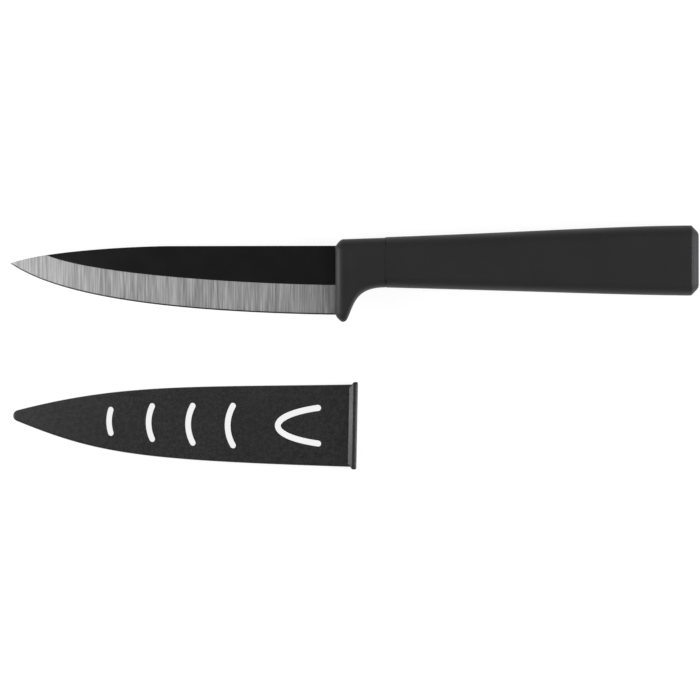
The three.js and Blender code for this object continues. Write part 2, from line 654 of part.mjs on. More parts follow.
const knife = new THREE.Group();
knife.add(
  piece("blade", makeBlade(), COATED_STEEL),
  piece("bolster_guard", makeGuard(), GUARD_BLACK),
  piece("handle_core", makeCore(), CORE_GREY),
  piece("grip_shell", makeGrip(), GRIP_BLACK),
  piece("butt_cap", makeCap(), GUARD_BLACK),
);
knife.position.set(-gripMiddle, 0, HANDLE_THICK / 2);

// The sheath rests on the front of its collar's band and on the far end of its flat face, so it
// tips down a little towards its round end.
const collarFoot = RIM_CHAMFER - RIM_LENGTH;
const endFoot = roundEnd.x - POCKET_TIP_RADIUS - EDGE_WALL + SHEATH_EDGE_ROUND;
const sheathTip = Math.atan2(RIM_PROUD, collarFoot - endFoot);
const sheathHeight = rimHalf * Math.cos(sheathTip) - collarFoot * Math.sin(sheathTip);
const sheath = new THREE.Group();
sheath.add(...makeSheath());
sheath.rotation.y = -sheathTip;
sheath.position.set(SHEATH_MOUTH_AHEAD - gripMiddle, -SHEATH_LANE, sheathHeight);

const whole = new THREE.Group();
whole.add(knife, sheath);

export default whole;
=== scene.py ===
import math

import bmesh
import bpy
import numpy as np
from mathutils import Matrix, Vector


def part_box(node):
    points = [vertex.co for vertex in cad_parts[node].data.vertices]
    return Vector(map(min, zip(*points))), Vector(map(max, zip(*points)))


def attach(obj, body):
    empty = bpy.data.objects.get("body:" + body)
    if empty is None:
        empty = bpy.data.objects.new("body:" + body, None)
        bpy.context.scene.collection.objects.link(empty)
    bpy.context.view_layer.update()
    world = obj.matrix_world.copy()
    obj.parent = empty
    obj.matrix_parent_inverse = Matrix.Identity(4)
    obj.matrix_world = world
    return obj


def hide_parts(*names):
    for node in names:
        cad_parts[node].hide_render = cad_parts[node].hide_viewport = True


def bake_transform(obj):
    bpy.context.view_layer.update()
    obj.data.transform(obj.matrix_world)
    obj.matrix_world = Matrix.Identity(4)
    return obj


# Looks of a small kitchen knife and of the sheath lying beside it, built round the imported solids.
# Pieces are drawn in millimetres in two frames and then placed in metres.
# Knife frame: x = 0 at the front of the guard, y = 0 on the handle's long axis, z = 0 in the
# middle of the blade. Sheath frame: x = 0 at the mouth, y = 0 halfway up it, z = 0 in the middle
# of the pocket.

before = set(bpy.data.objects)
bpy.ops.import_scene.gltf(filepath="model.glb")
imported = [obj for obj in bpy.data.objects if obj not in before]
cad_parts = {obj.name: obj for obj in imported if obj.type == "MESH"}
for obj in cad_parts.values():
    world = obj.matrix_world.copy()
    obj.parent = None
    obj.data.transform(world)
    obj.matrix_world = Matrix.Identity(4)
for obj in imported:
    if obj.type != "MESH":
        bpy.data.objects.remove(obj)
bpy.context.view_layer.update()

MM = 0.001
X, Y, Z = range(3)

# Places that the solids give

blade_low, blade_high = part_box("blade")
heel = Vector((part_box("bolster_guard")[0].x, 0, (blade_low.z + blade_high.z) / 2))
knife_place = Matrix.Translation(heel) @ Matrix.Scale(MM, 4)


def reach(node, axis):
    """How far a node reaches along an axis of the knife frame: lowest and highest value."""
    return [(corner[axis] - heel[axis]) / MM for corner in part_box(node)]


blade_tip_x, tang_end = reach("blade", X)
edge_heel_y, spine_heel_y = reach("blade", Y)
blade_half = reach("blade", Z)[1]
guard_tip_y = reach("bolster_guard", Y)[0]
guard_half = reach("bolster_guard", Z)[1]
guard_spigot_end = reach("bolster_guard", X)[1]
grip_front, grip_butt = reach("grip_shell", X)
grip_half = reach("grip_shell", Z)[1]
cap_spigot_start, cap_end = reach("butt_cap", X)

# Blade

SPINE_FALL = 0.1  # drop of the spine over its straight stretch
SPINE_STRAIGHT = 50  # straight stretch of the spine, from the heel
TIP_DROP = 0.45  # tip below the handle axis
TIP_BLUNT = 0.12  # height left at the very tip
HEEL_SEAT = 1  # how far the full-height blade sits inside the guard
EDGE_HALF = 0.12  # half-thickness where the ground band ends at the hone
HONE_HEIGHT = 0.42  # narrow final bevel along the cutting edge
HONE_HALF = 0.03  # half-thickness of the cutting edge itself
HONE_SHOWN = 0.6  # share of the hone that has a finish of its own
SPINE_BREAK = 0.1  # broken corners of the spine
TIP_HONE_PARTS = 3  # towards the tip, hone and broken corners take one such part of the height at most
TIP_BREAK_PARTS = 8
TANG_FRONT_HALF = 4.5
TANG_REAR_HALF = 3.25
TANG_HOLE_RADIUS = 2
TANG_HOLES_FROM_END = (14, 42)

# Lines on the blade: the direction in degrees in which each leaves its ends, and how far that
# direction carries, as a share of the distance between the ends
SPINE_TIP = (20.3, 0.23)
SPINE_AFTER_STRAIGHT = (0, 0.207)
EDGE_TIP = (34.8, 0.197)
EDGE_HEEL = (0.94, 0.438)
BAND_HEEL = (0.1, 0.18)  # the band is the bare ground strip along the edge
BAND_MEETS_SPINE = (22.3, 0.205)
BAND_HEEL_Y = -7.1
BAND_LENGTH = 89  # heel to where the band's upper line meets the spine

# Guard

GUARD_TOP = 6.88  # top of its front
GUARD_SEAM_TOP = 7.4
GUARD_SEAM_BOTTOM = -7.82
GUARD_FACE_INSET = 2.57  # how far the front face stays inside the guard's outline
GUARD_SLOPE_LENGTH = 2.27  # slope above and below, from the front face to the full outline
GUARD_SIDE_INSET = 2  # how far the front face stays inside the guard's two sides
GUARD_SIDE_LENGTH = 3.2  # slope of the sides, from the front face to the full thickness
GUARD_FACE = (90, 0.25)  # directions of these slopes, as for the blade's lines
GUARD_SLOPE = (0, 0.2)
GUARD_SIDE_FACE = (90, 0.2)
GUARD_SIDE_SLOPE = (0, 0.55)
GUARD_TIP_RADIUS = 1.5  # rounding of the finger guard's lowest point
GUARD_TIP_HALF = 4.5
GUARD_HOLLOW_TIP = (62, 0.29)  # the hollow for the finger
GUARD_HOLLOW_SEAM = (0, 0.62)
GUARD_EDGE_RADIUS = 3.2
SNUG = 0.04  # gap between pieces that are moulded on to each other

# Grip and butt cap

GRIP_FRONT_TOP = 7.6
GRIP_FRONT_BOTTOM = 7.85
GRIP_BUTT_TOP = 11.2
GRIP_BUTT_BOTTOM = 10.35
GRIP_BOW_TOP = 0.34  # how far the long edges bow outwards
GRIP_BOW_BOTTOM = 0.17
GRIP_BOW_PLACE = 0.75  # share of the grip's length at which they bow most
GRIP_EDGE_RADIUS = 4
LEAST_RADIUS = 1.2  # rounding that smaller sections of the handle keep
GRIP_WALL = 2
BORE_PAST = 1  # how far the cut of the grip's bore runs past its ends
GRIP_LIP_LENGTH = 1.4  # soft lip at the front of the grip
GRIP_LIP_DEPTH = 0.14
GRIP_BUTT_ROUND = 0.5
SPIGOT_INSET = 2.3
CAP_SEAM_INSET = 0.33  # how far the cap starts inside the grip's outline
CAP_FACE_INSET = 2.8  # how far its end face stays inside that outline
CAP_SEAM = (50, 0.4)  # directions of its sloping side, as for the blade's lines
CAP_FACE = (90, 0.25)

# Sheath

MOUTH_AHEAD = 6.7  # mouth past the heel, towards the butt
POCKET_HALF = 1.2
WALL_HALF = 2.4  # middle of the pocket to the outside of a face wall
POCKET_MOUTH = 11.65  # half-height of the pocket at the mouth
EDGE_WALL = 1.1
SHEATH_END = (-104.3, 3.1)  # centre of the round end
SHEATH_END_RADIUS = 0.65  # of the pocket
SHEATH_ROUND = 0.7
MOUTH_LEAN = 1.1  # degrees, mouth off square
RIM_LENGTH = 2.6
RIM_CHAMFER = 1.3
RIM_PROUD = 0.9
RIM_BEAD_START = 1.5  # mouth to where the chamfer turns into a round bead
RIM_BEAD_END = 0.5  # height of the bead at the mouth
RIM_BEAD_FALL = (120, 0.32)  # direction in which it ends there, as for the blade's lines
RIM_ALONG_SIDES = (  # collar along the long sides: distance from the mouth, and height
    (1.9, -0.1), (1.6, 0.4), (1.25, 0.72), (0.4, 0.75), (0.12, 0.62), (0, 0.4),
)
SPINE_SIDE_MOUTH = (1, 0.486)
SPINE_SIDE_END = (14.6, 0.317)
EDGE_SIDE_MOUTH = (1.8, 0.633)
EDGE_SIDE_END = (22.2, 0.26)
MOULD_ROUND = 0.12  # softness of moulded corners

# Slots and spring tongues of the sheath

SLOT_WIDTH = 1.9
TONGUE_ROOT = 12.05
TONGUE_REACH = 12.44
TONGUE_SPREAD = 11
TONGUE_SPLAY = 8.1  # degrees
NIB_RADIUS = 0.55
NIB_LENGTH = 3
NIB_FROM_ROOT = 8.45
VENT_COUNT = 4
VENT_FIRST = 39.95
VENT_PITCH = 12.2
VENT_BOW_RADIUS = 12.1
VENT_SPINE_MARGIN = 3.22  # from the pocket's side
VENT_EDGE_MARGIN = 3.07
VENT_TOP = 7.06  # height at which the longer vents end

# Fineness of curves

CORNER_STEPS = 12
ROUND_STEPS = 8
LINE_STEPS = 400
BLADE_STATIONS = 150
TIP_STATIONS = 36
BAND_ROWS = 6
COAT_ROWS = 4
HOLLOW_STEPS = 48
OUTLINE_STEPS = 90
GRIP_RINGS = 25
SLOT_STEPS = 48
BAR_SIDES = 32
MOULD_STEPS = 2  # across a soft moulded corner
SWEPT_RADII = 2.2  # height of the grip's swept section, in edge radii, before it is pulled apart
FULLEST_ROUND = 0.9  # share of a section's half-width that its corners may take
SHARP_CORNER = 40  # degrees, from which moulded corners are rounded
SMOOTH_UP_TO = 25  # degrees, up to which faces are shaded as one surface
SAME_POINT = 1e-5  # points nearer than this are one point
NEAR = 1e-3  # places nearer than this count as the same
FAR = 100.0  # past everything


# Lines and rings


def away(point, degrees, distance):
    """A point at a distance from another, in a direction."""
    turn = math.radians(degrees)
    return point[0] + distance * math.cos(turn), point[1] + distance * math.sin(turn)


def cubic(control, steps):
    """Points along a cubic curve."""
    a, b, c, d = np.array(control, float)
    t = np.linspace(0, 1, steps + 1)[:, None]
    return (1 - t) ** 3 * a + 3 * (1 - t) ** 2 * t * b + 3 * (1 - t) * t**2 * c + t**3 * d


def bend(start, leaving, end, arriving, steps=LINE_STEPS):
    """Points along a smooth line. Leaving and arriving are a direction in degrees and its pull."""
    span = math.dist(start, end)
    first = away(start, leaving[0], leaving[1] * span)
    second = away(end, arriving[0], arriving[1] * span)
    return cubic([start, first, second, end], steps)


def height_at(line, x):
    """Height of a line that runs along x."""
    ordered = line[np.argsort(line[:, 0])]
    return float(np.interp(x, ordered[:, 0], ordered[:, 1]))


def mix(first, second, share):
    return first + (second - first) * share


def quarter_round(radius):
    """Steps round a quarter circle: distance from the end, and inset from the full size."""
    turns = np.linspace(0, math.pi / 2, ROUND_STEPS + 1)
    return [(radius * (1 - math.cos(turn)), radius * (1 - math.sin(turn))) for turn in turns]


def soft_lip(length, depth):
    """Steps along a lip that falls away more and more towards the end, as for a quarter circle."""
    return [(length * share, depth * (1 - share) ** 2) for share in np.linspace(0, 1, ROUND_STEPS + 1)]


def section(x, top, bottom, top_half, bottom_half, radius):
    """Four-cornered ring at x with round corners, whose top and bottom have their own half-widths."""
    corners = [
        (Vector((top, -top_half)), top_half),
        (Vector((top, top_half)), top_half),
        (Vector((bottom, bottom_half)), bottom_half),
        (Vector((bottom, -bottom_half)), bottom_half),
    ]
    ring = []
    for i, (corner, half) in enumerate(corners):
        before = (corners[i - 1][0] - corner).normalized()
        after = (corners[(i + 1) % 4][0] - corner).normalized()
        opening = before.angle(after)
        inwards = (before + after).normalized()
        rounding = min(radius, FULLEST_ROUND * half)
        centre = corner + inwards * rounding / math.sin(opening / 2)
        for step in range(CORNER_STEPS + 1):
            turn = (math.pi - opening) * (step / CORNER_STEPS - 0.5)
            arm = Matrix.Rotation(turn, 2) @ inwards * -rounding
            ring.append((x, centre.x + arm.x, centre.y + arm.y))
    return ring


# Meshes


def new_piece(name, points, faces):
    """Closed mesh object from points and faces, with doubles merged and faces turned outwards."""
    mesh = bpy.data.meshes.new(name)
    mesh.from_pydata([tuple(point) for point in points], [], faces)
    work = bmesh.new()
    work.from_mesh(mesh)
    bmesh.ops.remove_doubles(work, verts=work.verts, dist=SAME_POINT)
    bmesh.ops.dissolve_degenerate(work, edges=work.edges, dist=SAME_POINT)
    bmesh.ops.recalc_face_normals(work, faces=work.faces)
    work.to_mesh(mesh)
    work.free()
    made = bpy.data.objects.new(name, mesh)
    bpy.context.scene.collection.objects.link(made)
    return made


def loft(name, rings):
    """Solid through rings of equally many points, closed by a flat face at each end."""
    count = len(rings[0])
    faces = []
    for i in range(len(rings) - 1):
        for j in range(count):
            k = (j + 1) % count
            faces.append((i * count + j, i * count + k, (i + 1) * count + k, (i + 1) * count + j))
    last = (len(rings) - 1) * count
    faces.append(tuple(reversed(range(count))))
    faces.append(tuple(range(last, last + count)))
    return new_piece(name, [point for ring in rings for point in ring], faces)


def prism(name, outline, low, high):
    """Flat outline in x and y, pulled from one height to another."""
    return loft(name, [[(x, y, z) for x, y in outline] for z in (low, high)])


def bar(name, centre, axis, radius, length):
    """Round bar about a line along Y or Z."""
    ring = [(turn / BAR_SIDES) * 2 * math.pi for turn in range(BAR_SIDES)]
    ends = []
    for side in (-length / 2, length / 2):
        if axis == Z:
            ends.append([(radius * math.cos(t), radius * math.sin(t), side) for t in ring])
        else:
            ends.append([(radius * math.cos(t), side, radius * math.sin(t)) for t in ring])
    return loft(name, [[Vector(point) + Vector(centre) for point in end] for end in ends])


def settle(piece):
    """Turns what the modifiers make into the piece's own plain mesh."""
    shape = piece.evaluated_get(bpy.context.evaluated_depsgraph_get())
    mesh = bpy.data.meshes.new_from_object(shape)
    piece.modifiers.clear()
    piece.data = mesh


def carve(piece, tool, operation="DIFFERENCE"):
    """Cuts a tool out of a piece, or joins it on, and takes the tool away."""
    cut = piece.modifiers.new("carve", "BOOLEAN")
    cut.operation = operation
    cut.solver = "EXACT"
    cut.object = tool
    settle(piece)
    bpy.data.objects.remove(tool)


def soften(piece, chosen):
    """Rounds the sharp moulded corners of a mesh that the test chooses by their two ends."""
    work = bmesh.new()
    work.from_mesh(piece.data)
    edges = [
        edge
        for edge in work.edges
        if len(edge.link_faces) == 2
        and edge.calc_face_angle() > math.radians(SHARP_CORNER)
        and chosen(*(vert.co for vert in edge.verts))
    ]
    bmesh.ops.bevel(
        work, geom=edges, offset=MOULD_ROUND, offset_type="OFFSET", affect="EDGES",
        segments=MOULD_STEPS, profile=0.5, clamp_overlap=True,
    )
    bmesh.ops.recalc_face_normals(work, faces=work.faces)
    work.to_mesh(piece.data)
    work.free()


def round_end(piece, along, steps):
    """Builds steps on to a flat end of a piece, ring by ring. Along is 1 for its end in +X, -1 in -X."""
    work = bmesh.new()
    work.from_mesh(piece.data)
    work.normal_update()
    end = max(work.faces, key=lambda face: face.normal.x * along * face.calc_area())
    inwards = steps[::-1]
    for (far, outer), (near, inner) in zip(inwards, inwards[1:]):
        bmesh.ops.inset_region(
            work, faces=[end], thickness=inner - outer, depth=far - near,
            use_even_offset=True, use_boundary=True,
        )
    work.to_mesh(piece.data)
    work.free()


def place_piece(piece, place, materials):
    """Puts a finished mesh in its place in the row frame, with its materials and smooth normals."""
    mesh = piece.data
    mesh.transform(place)
    for material in materials:
        mesh.materials.append(material)
    mesh.shade_smooth()
    mesh.set_sharp_from_angle(angle=math.radians(SMOOTH_UP_TO))
    evened = piece.modifiers.new("evened", "WEIGHTED_NORMAL")
    evened.keep_sharp = True
    settle(piece)


# Node trees


class Nodes:
    """Adds nodes to one tree. An input is a plain value, an output of another node, or a list."""

    def __init__(self, tree):
        self.tree = tree

    def add(self, kind, inputs=None, output=0, **settings):
        node = self.tree.nodes.new(kind)
        for name, value in settings.items():
            setattr(node, name, value)
        for socket, value in (inputs or {}).items():
            for one in value if isinstance(value, list) else [value]:
                if isinstance(one, bpy.types.NodeSocket):
                    self.tree.links.new(one, node.inputs[socket])
                else:
                    node.inputs[socket].default_value = one
        return node.outputs[output] if node.outputs else node

    def math(self, operation, first, second=0.0):
        return self.add("ShaderNodeMath", {0: first, 1: second}, operation=operation)

    def vector(self, x=0.0, y=0.0, z=0.0):
        return self.add("ShaderNodeCombineXYZ", {0: x, 1: y, 2: z})

    def ramp(self, value, low, high, to_low, to_high):
        """A value carried from one range to another, held at its ends."""
        return self.add("ShaderNodeMapRange", {0: value, 1: low, 2: high, 3: to_low, 4: to_high})

    def colour(self, share, first, second):
        return self.add("ShaderNodeMix", {0: share, 6: first, 7: second}, 2, data_type="RGBA")


def shape_tree(name, sizes, shaped=False):
    """Geometry tree with a named input for each size. Gives its nodes and its inputs by name."""
    tree = bpy.data.node_groups.new(name, "GeometryNodeTree")
    if shaped:
        tree.interface.new_socket("Geometry", in_out="INPUT", socket_type="NodeSocketGeometry")
    for size, value in sizes.items():
        kind = "NodeSocketInt" if isinstance(value, int) else "NodeSocketFloat"
        tree.interface.new_socket(size, in_out="INPUT", socket_type=kind)
    tree.interface.new_socket("Material", in_out="INPUT", socket_type="NodeSocketMaterial")
    tree.interface.new_socket("Geometry", in_out="OUTPUT", socket_type="NodeSocketGeometry")
    nodes = Nodes(tree)
    given = tree.nodes.new("NodeGroupInput").outputs
    return nodes, {socket.name: socket for socket in given if socket.name}


def close_tree(nodes, geometry, material):
    """Ends a geometry tree with plain geometry in one material."""
    plain = nodes.add("GeometryNodeRealizeInstances", {0: geometry})
    dressed = nodes.add("GeometryNodeSetMaterial", {"Geometry": plain, "Material": material})
    nodes.add("NodeGroupOutput", {0: dressed})


def run_tree(piece, nodes, sizes, material):
    """Runs a geometry tree on a piece and keeps the plain mesh that it makes."""
    step = piece.modifiers.new("shape", "NODES")
    step.node_group = nodes.tree
    for item in nodes.tree.interface.items_tree:
        if item.in_out == "INPUT" and item.name in sizes:
            step[item.identifier] = sizes[item.name]
        if item.in_out == "INPUT" and item.name == "Material":
            step[item.identifier] = material
    settle(piece)


# Materials: sizes of patterns and depths in metres, shades as linear greys

NOISE_LOW, NOISE_HIGH = 0.3, 0.7  # between these lies nearly all of a noise
BUMP_FULL = 1.0
MOULD_PATCH = 0.0013  # soft mottle of moulded plastic
MOULD_MARK = 0.014  # faint marks of handling
MOULD_MARK_ROUGHNESS = 0.06  # how much rougher or smoother they are
MOULD_BLUE = 1.02  # how much bluer than grey the plastic is
COAT_CLOUD = 0.009
COAT_PORE = 0.00018
COAT_PORE_DEPTH = 0.000002
COAT_SHADES = (0.0015, 0.003)
COAT_ROUGHNESS = (0.3, 0.38)
COAT_GLOSS = 0.45
STREAK_BROAD = 0.0011  # widths of the grinding streaks, and how each is drawn out
STREAK_BROAD_DRAWN = (1, 0.06, 0.02)
STREAK_THIN = 0.00036
STREAK_THIN_DRAWN = (1, 0.03, 0.02)
STREAK_HAIR = 0.00012
STREAK_HAIR_DRAWN = (1, 0.02, 0.02)
STREAK_SHARES = (0.35, 0.65)  # broad and thin streaks in the mix
STREAK_ENDS = (0.36, 0.64)  # between these lies nearly all of that mix
STREAK_HAIR_RELIEF = 0.3
STREAK_DEPTH = 0.00001
STEEL_DARK = (0.22, 0.22, 0.223, 1)
STEEL_PALE = (0.43, 0.43, 0.43, 1)
STEEL_THIN_ENDS = (0.35, 0.65)
STEEL_ROUGHNESS = (0.36, 0.44)
STEEL_BRUSHED = 0.75
NICK = 0.0005  # fine nicks along the hone
NICK_DEPTH = 0.00001
NICK_SHADES = (0.05, 0.14)
NICK_ROUGHNESS = (0.3, 0.45)


def grey(shade, blue=1.0):
    return shade, shade, shade * blue, 1


def new_material(name):
    """Material with an empty tree, its shader and the piece's own coordinates."""
    material = bpy.data.materials.new(name)
    material.use_nodes = True
    nodes = Nodes(material.node_tree)
    material.node_tree.nodes.clear()
    shader = material.node_tree.nodes.new("ShaderNodeBsdfPrincipled")
    nodes.add("ShaderNodeOutputMaterial", {"Surface": shader.outputs[0]})
    here = nodes.add("ShaderNodeTexCoord", output="Object")
    return material, nodes, shader, here


def feed(nodes, shader, **inputs):
    """Links outputs to the shader's sockets, or sets plain values there."""
    for name, value in inputs.items():
        socket = shader.inputs[name.replace("_", " ")]
        if isinstance(value, bpy.types.NodeSocket):
            nodes.tree.links.new(value, socket)
        else:
            socket.default_value = value


def noise(nodes, here, size, detail=2.0, roughness=0.5, stretch=None):
    """Noise whose features are about as wide as the size, in metres."""
    where = here
    if stretch:
        where = nodes.add("ShaderNodeMapping", {"Vector": here, "Scale": stretch})
    inputs = {"Vector": where, "Scale": 1 / size, "Detail": detail, "Roughness": roughness}
    return nodes.add("ShaderNodeTexNoise", inputs, 0)


def moulded_black(name, shade, lift, rough, gloss, grain, depth, speckle, mottle):
    """Black moulded plastic: fine grain from the mould, soft mottle, faint handling marks.

    Lift is how much lighter than the shade its specks are, speckle how softly they part from it, and
    mottle the share of patches in them. Grain and depth are the width and height of the grain.
    """
    material, nodes, shader, here = new_material(name)
    fine = noise(nodes, here, grain, detail=3.0, roughness=0.6)
    patches = noise(nodes, here, MOULD_PATCH, detail=3.0, roughness=0.6)
    marks = noise(nodes, here, MOULD_MARK, detail=4.0)
    uneven = nodes.add("ShaderNodeMix", {0: mottle, 2: fine, 3: patches})
    speckled = nodes.ramp(uneven, 0.5 - speckle, 0.5 + speckle, 0.0, 1.0)
    dull = grey(shade, MOULD_BLUE)
    light = grey(shade * lift, MOULD_BLUE)
    smooth, worn = rough - MOULD_MARK_ROUGHNESS, rough + MOULD_MARK_ROUGHNESS
    bump = nodes.add("ShaderNodeBump", {"Strength": BUMP_FULL, "Distance": depth, "Height": fine})
    feed(
        nodes, shader,
        Base_Color=nodes.colour(speckled, dull, light),
        Roughness=nodes.ramp(marks, NOISE_LOW, NOISE_HIGH, smooth, worn),
        Specular_IOR_Level=gloss,
        Normal=bump,
    )
    return material


def blade_coat():
    """Smooth black non-stick coating, very slightly clouded."""
    material, nodes, shader, here = new_material("blade_coat")
    cloud = noise(nodes, here, COAT_CLOUD, detail=5.0, roughness=0.6)
    pores = noise(nodes, here, COAT_PORE, detail=2.0)
    dark, pale = (grey(shade) for shade in COAT_SHADES)
    relief = {"Strength": BUMP_FULL, "Distance": COAT_PORE_DEPTH, "Height": pores}
    bump = nodes.add("ShaderNodeBump", relief)
    feed(
        nodes, shader,
        Base_Color=nodes.colour(nodes.ramp(cloud, NOISE_LOW, NOISE_HIGH, 0.0, 1.0), dark, pale),
        Roughness=nodes.ramp(cloud, NOISE_LOW, NOISE_HIGH, *COAT_ROUGHNESS),
        Specular_IOR_Level=COAT_GLOSS,
        Normal=bump,
    )
    return material


def ground_steel():
    """Bare steel, ground across the blade: streaks of many widths that run from the coat to the edge."""
    material, nodes, shader, here = new_material("ground_steel")
    broad = noise(nodes, here, STREAK_BROAD, detail=3.0, stretch=STREAK_BROAD_DRAWN)
    thin = noise(nodes, here, STREAK_THIN, detail=4.0, roughness=0.6, stretch=STREAK_THIN_DRAWN)
    hair = noise(nodes, here, STREAK_HAIR, detail=2.0, stretch=STREAK_HAIR_DRAWN)
    parts = [nodes.math("MULTIPLY", part, share) for part, share in zip((broad, thin), STREAK_SHARES)]
    both = nodes.math("ADD", *parts)
    streaks = nodes.ramp(both, *STREAK_ENDS, 0.0, 1.0)
    height = nodes.math("ADD", both, nodes.math("MULTIPLY", hair, STREAK_HAIR_RELIEF))
    bump = nodes.add("ShaderNodeBump", {"Strength": BUMP_FULL, "Distance": STREAK_DEPTH, "Height": height})
    tangent = nodes.add("ShaderNodeTangent", direction_type="UV_MAP", uv_map="grind")
    feed(
        nodes, shader,
        Base_Color=nodes.colour(streaks, STEEL_DARK, STEEL_PALE),
        Roughness=nodes.ramp(thin, *STEEL_THIN_ENDS, *STEEL_ROUGHNESS),
        Normal=bump,
        Tangent=tangent,
        Metallic=1.0,
        Anisotropic=STEEL_BRUSHED,
    )
    return material


def honed_edge():
    """The narrow dark line of the final hone."""
    material, nodes, shader, here = new_material("honed_edge")
    nicks = noise(nodes, here, NICK, detail=3.0)
    dark, pale = (grey(shade) for shade in NICK_SHADES)
    bump = nodes.add("ShaderNodeBump", {"Strength": BUMP_FULL, "Distance": NICK_DEPTH, "Height": nicks})
    feed(
        nodes, shader,
        Base_Color=nodes.colour(nicks, dark, pale),
        Roughness=nodes.ramp(nicks, NOISE_LOW, NOISE_HIGH, *NICK_ROUGHNESS),
        Normal=bump,
        Metallic=1.0,
    )
    return material


# Blade


blade_tip = (blade_tip_x, -TIP_DROP)
spine_break = (-SPINE_STRAIGHT, spine_heel_y - SPINE_FALL)
edge_line = bend(
    (0, edge_heel_y), (180 - EDGE_HEEL[0], EDGE_HEEL[1]), blade_tip, (-EDGE_TIP[0], EDGE_TIP[1]),
)
spine_curve = bend(
    spine_break, (180 - SPINE_AFTER_STRAIGHT[0], SPINE_AFTER_STRAIGHT[1]), blade_tip, SPINE_TIP,
)
spine_line = np.vstack([[(HEEL_SEAT, spine_heel_y), (0, spine_heel_y)], spine_curve])
band_meets = (-BAND_LENGTH, height_at(spine_line, -BAND_LENGTH))
band_line = bend(
    (0, BAND_HEEL_Y), (180 - BAND_HEEL[0], BAND_HEEL[1]),
    band_meets, (-BAND_MEETS_SPINE[0], BAND_MEETS_SPINE[1]),
)
band_slope = (blade_half - EDGE_HALF) / (BAND_HEEL_Y - edge_heel_y)
COAT, STEEL, HONE = range(3)  # order of the blade's finishes


def two_sided(x, heights, halves):
    """Ring up one side of the blade and down the other."""
    up = [(x, y, half) for y, half in zip(heights, halves)]
    down = [(x, y, -half) for y, half in zip(heights, halves)]
    return up + down[::-1]


def blade_ring(x):
    """Section of the blade: hone, ground band, flat coated side and broken spine corner."""
    edge = height_at(edge_line, x)
    spine = max(height_at(spine_line, x), edge + TIP_BLUNT)
    band = spine if x < -BAND_LENGTH else min(height_at(band_line, x), spine)
    hone = min(HONE_HEIGHT, (spine - edge) / TIP_HONE_PARTS)
    full = EDGE_HALF + (band - edge) * band_slope
    corner = min(SPINE_BREAK, full / 2, (spine - edge) / TIP_BREAK_PARTS)
    shoulder = spine - corner
    band_top = min(band, shoulder)
    heights = [edge, *np.linspace(edge + hone, band_top, BAND_ROWS)]
    heights += [*np.linspace(band_top, shoulder, COAT_ROWS)[1:], spine]
    halves = [HONE_HALF] + [EDGE_HALF + (min(y, band) - edge) * band_slope for y in heights[1:-1]]
    return two_sided(x, heights, [*halves, halves[-1] - corner])


def tang_ring(x, half_height):
    rows = 1 + BAND_ROWS + COAT_ROWS
    heights = np.linspace(-half_height, half_height, rows)
    return two_sided(x, heights, [blade_half] * rows)


def make_blade(coat, steel, hone):
    stations = [
        *np.linspace(blade_tip_x, -BAND_LENGTH, TIP_STATIONS)[:-1],
        *np.linspace(-BAND_LENGTH, 0, BLADE_STATIONS),
    ]
    rings = [blade_ring(x) for x in stations]
    rings.append([(HEEL_SEAT, y, z) for _, y, z in rings[-1]])
    rings.append(tang_ring(HEEL_SEAT, TANG_FRONT_HALF))
    rings.append(tang_ring(tang_end - TANG_REAR_HALF / 2, TANG_REAR_HALF))
    rings.append(tang_ring(tang_end, TANG_REAR_HALF / 2))
    blade = loft("knife_blade", rings)
    for from_end in TANG_HOLES_FROM_END:
        carve(blade, bar("hole", (tang_end - from_end, 0, 0), Z, TANG_HOLE_RADIUS, 4 * blade_half))
    mesh = blade.data
    finishes = np.full(len(mesh.polygons), COAT)
    for face in mesh.polygons:
        x, y, _ = face.center
        if x < -BAND_LENGTH or (x < HEEL_SEAT and y < height_at(band_line, min(x, 0))):
            above = y - height_at(edge_line, min(x, 0))
            finishes[face.index] = HONE if above < HONE_SHOWN * HONE_HEIGHT else STEEL
    mesh.polygons.foreach_set("material_index", finishes)
    grind = mesh.uv_layers.new(name="grind")
    for corner, loop in zip(grind.data, mesh.loops):
        corner.uv = mesh.vertices[loop.vertex_index].co.xy / -blade_tip_x
    place_piece(blade, knife_place, [coat, steel, hone])
    return blade


# Handle


def blade_room(piece):
    """Cuts the snug seat of the blade's heel and tang."""
    high = blade_half + SNUG
    low_y, high_y = edge_heel_y - SNUG, spine_heel_y + SNUG
    end = HEEL_SEAT + SNUG
    seat = [(-end, low_y), (end, low_y), (end, high_y), (-end, high_y)]
    front, rear = TANG_FRONT_HALF + SNUG, TANG_REAR_HALF + SNUG
    tang = [(0, -front), (tang_end, -rear), (tang_end, rear), (0, front)]
    carve(piece, prism("seat", seat, -high, high))
    carve(piece, prism("room", tang, -high, high))


def guard_ring(x, bottom, inset, side_inset):
    """Section of the guard: as thick as the handle at the top, thinner down the finger guard."""
    depth = (GUARD_SEAM_BOTTOM - bottom) / (GUARD_SEAM_BOTTOM - guard_tip_y)
    top = mix(GUARD_TOP, GUARD_SEAM_TOP, x / grip_front)
    tip_half = mix(guard_half, GUARD_TIP_HALF, depth) - side_inset
    radius = max(GUARD_EDGE_RADIUS - inset, LEAST_RADIUS)
    return section(x, top - inset, bottom + inset, guard_half - side_inset, tip_half, radius)


def bow_at(share):
    """How much of its bow the grip has: none at its ends, all of it at one place."""
    power = GRIP_BOW_PLACE / (1 - GRIP_BOW_PLACE)
    return (share / GRIP_BOW_PLACE) ** power * (1 - share) / (1 - GRIP_BOW_PLACE)


